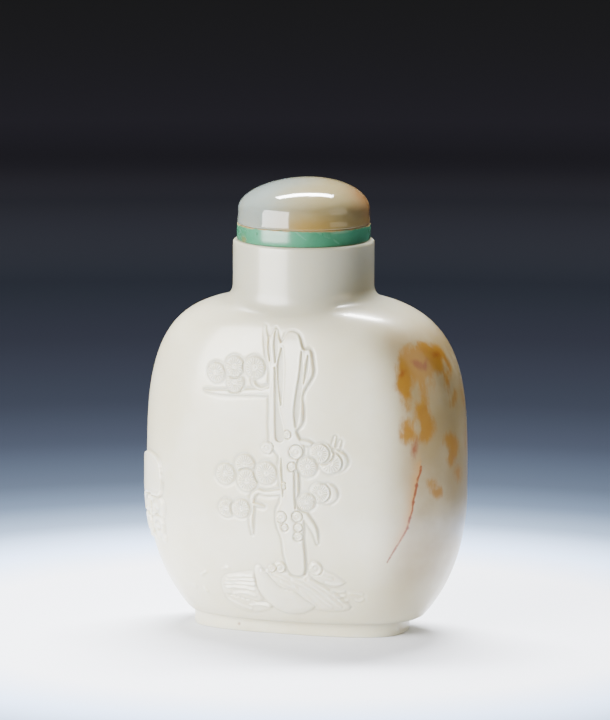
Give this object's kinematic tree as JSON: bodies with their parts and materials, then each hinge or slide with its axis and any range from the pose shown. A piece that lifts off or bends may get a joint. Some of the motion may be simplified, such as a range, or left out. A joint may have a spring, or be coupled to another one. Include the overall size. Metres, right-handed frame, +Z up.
{
  "type": "carved snuff bottle with stopper",
  "caption": "Flattened ovoid pale jade snuff bottle with a pine tree and rocks in low relief, a straight neck, an oval foot, and a domed agate stopper on a green collar.",
  "frame": {"origin": "on the ground, under the middle of the body", "axes": "+Z up through the neck, +X to the right of the carved front face, which looks along -Y"},
  "size_m": [0.0506, 0.0293, 0.0695],
  "materials": {
    "jade": "polished, slightly waxy white nephrite with a russet skin on one narrow side",
    "green_glass": "opaque jadeite-green collar, finely scratched satin",
    "agate": "high gloss translucent agate, grey-white to orange brown"
  },
  "bodies": {
    "root": {"bottle": "jade", "stopper_collar": "green_glass", "stopper_cap": "agate"}
  },
  "joints": []
}
